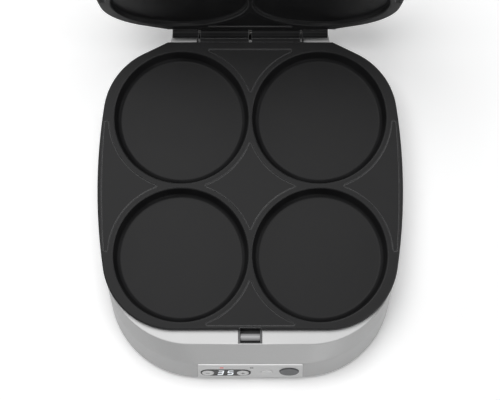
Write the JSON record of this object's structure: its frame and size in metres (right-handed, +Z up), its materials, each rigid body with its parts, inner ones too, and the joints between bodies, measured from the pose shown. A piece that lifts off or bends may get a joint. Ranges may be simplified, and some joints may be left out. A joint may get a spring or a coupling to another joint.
{
  "type": "pancake maker",
  "caption": "Electric pancake maker standing open: low silver base with round moulds in a black plate, hinged lid with shallow recesses, latch, bow handle and front control panel.",
  "frame": {"origin": "on the table, under the middle of the open maker's bounding box", "axes": "+X to the right as the user faces the control panel, +Y to the back, +Z up"},
  "size_m": [0.2612, 0.3593, 0.3427],
  "materials": {
    "silver_shell": "satin silver paint",
    "coated_casting": "black non-stick coating",
    "panel_silver": "fine satin, lighter than the shell",
    "window_black": "glossy",
    "display_glass": "smoked, glossy",
    "digit_light": "lit bars",
    "lamp_red": "clear red, lit",
    "lamp_clear": "clear, unlit",
    "button_grey": "satin",
    "button_light": "satin",
    "dark_plastic": "fine grained",
    "latch_grey": "satin",
    "pan_plastic": "grained",
    "foot_rubber": "matt",
    "steel": "plain",
    "shield_sheet": "bright rolled sheet",
    "heater_sheath": "dark annealed tube",
    "circuit_board": "green solder mask with dark components"
  },
  "bodies": {
    "base": {"base_housing": "silver_shell", "base_pan": "pan_plastic", "foot_front_left": "foot_rubber", "foot_front_right": "foot_rubber", "foot_rear_left": "foot_rubber", "foot_rear_right": "foot_rubber", "plate_screws": "steel", "base_screws": "steel", "lower_plate": "coated_casting", "lower_heating_element": "heater_sheath", "lower_heat_shield": "shield_sheet", "temperature_sensor": "dark_plastic", "hinge_pin": "steel", "latch_keeper": "latch_grey", "cord_gland": "dark_plastic", "control_panel": "panel_silver", "display_window": "window_black", "display_module": "display_glass", "display_digits": "digit_light", "power_lamp": "lamp_red", "ready_lamp": "lamp_clear", "control_board": "circuit_board", "board_screws": "steel", "power_board": "circuit_board"},
    "lid": {"lid_cover": "silver_shell", "upper_plate": "coated_casting", "upper_heating_element": "heater_sheath", "upper_heat_shield": "shield_sheet", "lid_screws": "steel", "lid_handle": "dark_plastic", "handle_screws": "steel", "latch_pin": "steel", "latch_spring": "steel"},
    "latch": {"latch_lever": "dark_plastic"},
    "minus_key": {"minus_button": "button_light"},
    "plus_key": {"plus_button": "button_light"},
    "function_key": {"function_button": "button_light"},
    "start_key": {"start_button": "button_grey"}
  },
  "joints": [
    {"name": "lid_hinge", "type": "hinge", "parent": "base", "child": "lid", "pos_m": [0, 0.1135, 0.0552], "axis": [-1, 0, 0], "range_deg": [-95, 0]},
    {"name": "latch_pivot", "type": "hinge", "parent": "lid", "child": "latch", "pos_m": [0, 0.14706, 0.31486], "axis": [1, 0, 0], "range_deg": [0, 5.5], "stiffness_Nm_per_rad": 0.2, "springref_deg": -8.59},
    {"name": "minus_press", "type": "slide", "parent": "base", "child": "minus_key", "axis": [0, 0.9684, -0.2493], "range_m": [0, 0.0008], "stiffness_N_per_m": 1500, "springref_m": -0.0005},
    {"name": "plus_press", "type": "slide", "parent": "base", "child": "plus_key", "axis": [0, 0.9684, -0.2493], "range_m": [0, 0.0008], "stiffness_N_per_m": 1500, "springref_m": -0.0005},
    {"name": "function_press", "type": "slide", "parent": "base", "child": "function_key", "axis": [0, 0.9684, -0.2493], "range_m": [0, 0.0008], "stiffness_N_per_m": 1500, "springref_m": -0.0005},
    {"name": "start_press", "type": "slide", "parent": "base", "child": "start_key", "axis": [0, 0.9684, -0.2493], "range_m": [0, 0.0008], "stiffness_N_per_m": 1500, "springref_m": -0.0005}
  ]
}
